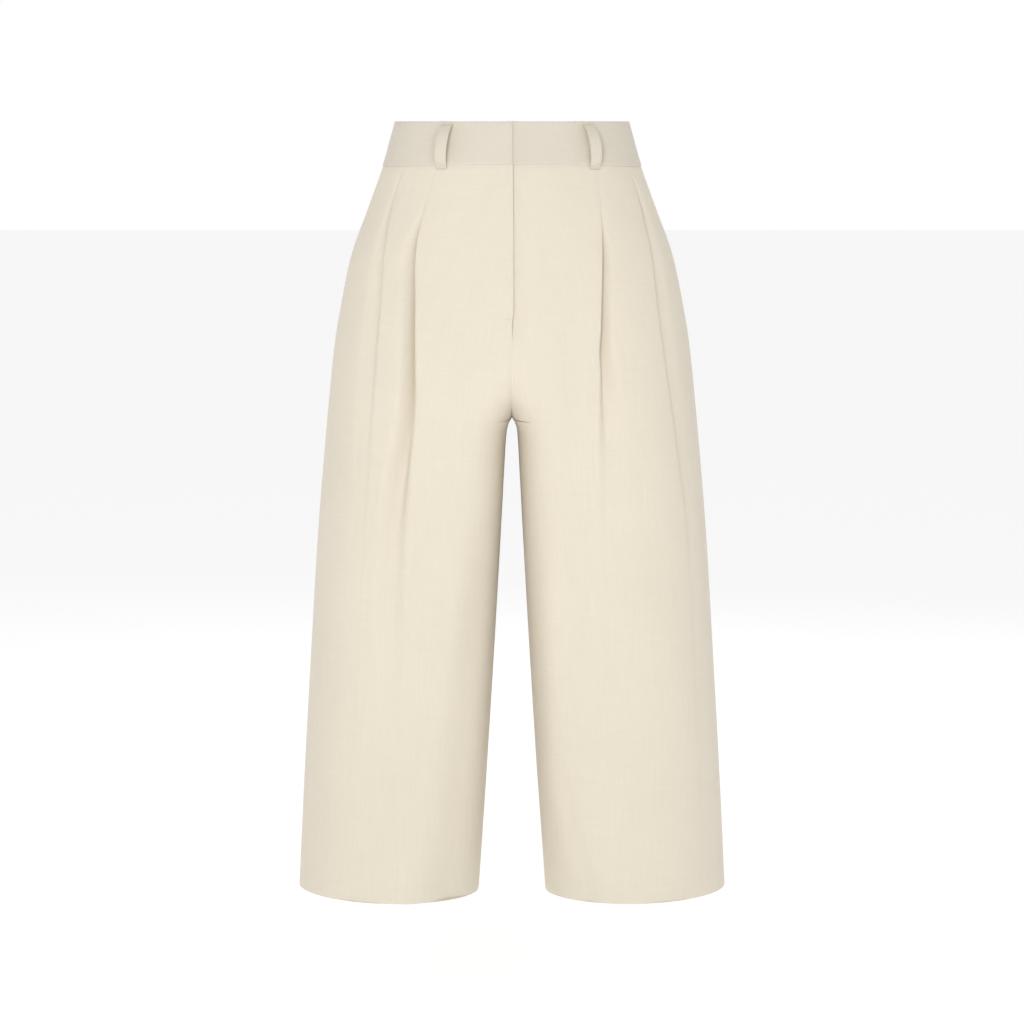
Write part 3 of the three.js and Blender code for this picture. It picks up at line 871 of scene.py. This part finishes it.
for name, (side, side_of, at) in LOOPS.items():
    edges, feet = [], []
    for share in (-ROW_AT, ROW_AT):
        edges.append([])
        for drop, out in loop_shape():
            girth = girth_at(min(drop, BAND_DROP), side_of, at) + share * LOOP_WIDTH
            height = BAND_PROUD + SEAM_GAP + out + LOOP_CLOTH - ROW_SINK
            edges[-1].append(strap_point(side, girth, drop, height, at))
    for drop in (LOOP_TOP + TACK_TOP, LOOP_BOTTOM - TACK_FOOT):
        middle = girth_at(min(drop, BAND_DROP), side_of, at)
        height = BAND_PROUD + SEAM_GAP + LOOP_CLOTH
        across = [middle + LOOP_WIDTH * (k / TACK_POINTS - 0.5) * TACK_WIDTH for k in range(TACK_POINTS + 1)]
        feet.append([strap_point(side, girth, drop, height, at) for girth in across])
    stitch(f"{name}_rows", edges, *LOOP_STITCH)
    stitch(f"{name}_tacks", feet, *TACK_STITCH)

FLY_TACK_DROP, FLY_TACK_FROM, FLY_TACK_WIDTH, FLY_TACK_HEIGHT = 199.5, 0.6, 10, 0.1
fly_girths = [FLY_TACK_FROM + FLY_TACK_WIDTH * k / TACK_POINTS for k in range(TACK_POINTS + 1)]
tack = [place(-1, girth, FLY_TACK_DROP, FLY_TACK_HEIGHT) for girth in fly_girths]
stitch("fly_tack", [tack], *TACK_STITCH)

# %% [markdown]
# ## What each piece was cut from
# Each piece is listed with the width, length and flat area of its cut. These are drafted from girths, as
# a pattern is: the widest girth with its pleats laid open, and the mean girth of each stretch times its length. They
# aren't read off the meshes, so comparing the two shows whether the cloth was stretched or crowded on the way.

# %% Cuts, in metres: width, length and flat area
FRONT_CUT = (0.37, 0.765, 0.236)
BACK_CUT = (0.37, 0.765, 0.233)
RIGHT_BAND_CUT = (0.376, 0.045, 0.0161)
LEFT_BAND_CUT = (0.411, 0.045, 0.0177)
SHIELD_CUT = (0.046, 0.167, 0.0075)
LOOP_CUT = (0.011, 0.06, 0.00066)
CUTS = [
    *[(made, FRONT_CUT) for made in fronts],
    *[(made, BACK_CUT) for made in backs],
    (bands[0], RIGHT_BAND_CUT),
    (bands[1], LEFT_BAND_CUT),
    (shield_piece, SHIELD_CUT),
    *[(made, LOOP_CUT) for made in loops],
]
for (piece, area), (cut_width, cut_length, cut_area) in CUTS:
    print(f"{piece.name}: {area:.5f} square metres modelled, {cut_area} cut, ratio {area / cut_area:.3f}")

# %% [markdown]
# ## Floor, light and camera
# Pale cloth needs soft light from the front and a little from the sides, over a near-white floor that bounces light
# into the folds. There is no backdrop: the air of the studio is brighter behind the garment than in front of it. The
# key lamp, a little above and to one side, gives the troughs their shade.

# %% Floor
floor_mesh = bpy.data.meshes.new("floor")
REACH = 30.0
FLOOR_Z = -0.98
floor_mesh.from_pydata(
    [(-REACH, -REACH, FLOOR_Z), (REACH, -REACH, FLOOR_Z), (REACH, REACH, FLOOR_Z), (-REACH, REACH, FLOOR_Z)],
    [],
    [(0, 1, 2, 3)],
)
floor = bpy.data.objects.new("floor", floor_mesh)
bpy.context.scene.collection.objects.link(floor)
floor_finish = bpy.data.materials.new("pale floor")
floor_finish.use_nodes = True
floor_shader = floor_finish.node_tree.nodes["Principled BSDF"]
floor_shader.inputs["Base Color"].default_value = (0.93, 0.93, 0.93, 1)
floor_shader.inputs["Roughness"].default_value = 0.9
floor_shader.inputs["Emission Color"].default_value = (1, 1, 1, 1)
floor_shader.inputs["Emission Strength"].default_value = 0.2
floor_mesh.materials.append(floor_finish)
print("floor at", FLOOR_Z, "m")

# %% Lights
world = bpy.data.worlds.new("studio")
bpy.context.scene.world = world
world.use_nodes = True
SKY_FRONT, SKY_BEHIND = 0.5, 1.0  # how bright the studio is in front of the garment and behind it
air = Wire(world.node_tree, None)
towards = air.node("ShaderNodeSeparateXYZ", {0: air.node("ShaderNodeTexCoord")}, output=1)
sky = air.node(
    "ShaderNodeMapRange",
    {0: towards, 1: -0.35, 2: 0.25, 3: SKY_FRONT, 4: SKY_BEHIND},
    interpolation_type="SMOOTHSTEP",
)
background = world.node_tree.nodes["Background"]
background.inputs["Color"].default_value = (1, 1, 1, 1)
world.node_tree.links.new(sky.socket, background.inputs["Strength"])


LAMPS_AT, CAMERA_AT = Vector((0, 0, -0.4)), Vector((0, 0, -0.408))  # what they point at


def soft_lamp(name, place_at, size, power):
    data = bpy.data.lights.new(name, "AREA")
    data.size = size
    data.energy = power
    lamp = bpy.data.objects.new(name, data)
    lamp.location = place_at
    lamp.rotation_euler = (LAMPS_AT - Vector(place_at)).to_track_quat("-Z", "Y").to_euler()
    bpy.context.scene.collection.objects.link(lamp)
    print("lamp", name, power, "W")


soft_lamp("key", (-0.7, -3.2, 0.8), 0.8, 38)
soft_lamp("fill", (1.2, -3.4, 0.4), 1.6, 15)
soft_lamp("back", (0.5, 2.6, 1.2), 2.0, 10)

# %% Camera
camera_data = bpy.data.cameras.new("camera")
camera_data.lens = 131.3
camera_data.clip_end = 200
camera = bpy.data.objects.new("camera", camera_data)
camera.location = (0, -3.9, 0)
camera.rotation_euler = (CAMERA_AT - camera.location).to_track_quat("-Z", "Y").to_euler()
bpy.context.scene.collection.objects.link(camera)
bpy.context.scene.camera = camera
bpy.context.scene.view_settings.view_transform = "Standard"
print("camera at", tuple(camera.location), "lens", round(camera_data.lens, 1), "mm")
